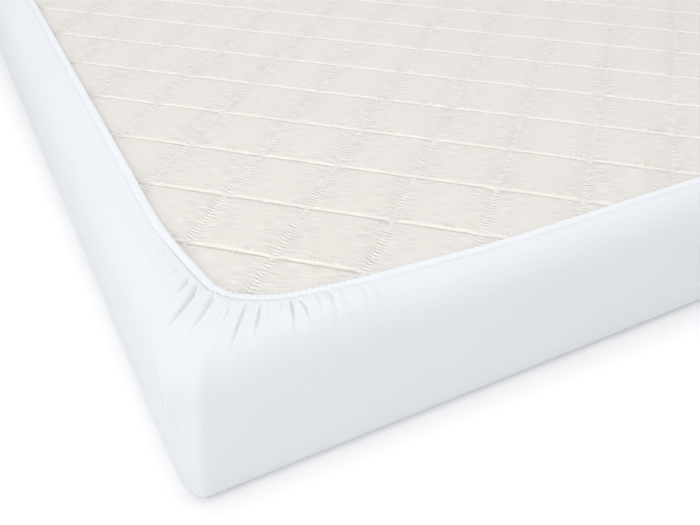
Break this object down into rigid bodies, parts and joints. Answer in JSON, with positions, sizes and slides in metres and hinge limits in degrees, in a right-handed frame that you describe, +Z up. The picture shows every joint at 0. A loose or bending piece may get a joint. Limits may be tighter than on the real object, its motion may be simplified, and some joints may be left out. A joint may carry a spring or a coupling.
{
  "type": "fitted sheet on mattress",
  "caption": "Smooth fitted sheet on a mattress lying quilted underside up: plain sides, an edge gathered at the corners and turned over the top, and a narrow elastic binding.",
  "frame": {"origin": "on the floor, under the middle of the sheet's sleeping panel", "axes": "+X across the mattress, +Y along the mattress, +Z up, out of the sheet's mouth"},
  "size_m": [1.609, 2.009, 0.1924],
  "materials": {
    "jersey_cloth": "smooth fine jersey, matt",
    "binding_cloth": "soft ribbed elastic tape, matt",
    "quilted_ticking": "cream crinkled knit ticking quilted in diamonds, matt"
  },
  "bodies": {
    "root": {"mattress": "quilted_ticking", "fitted_sheet": "jersey_cloth", "elastic_binding": "binding_cloth"}
  },
  "joints": []
}
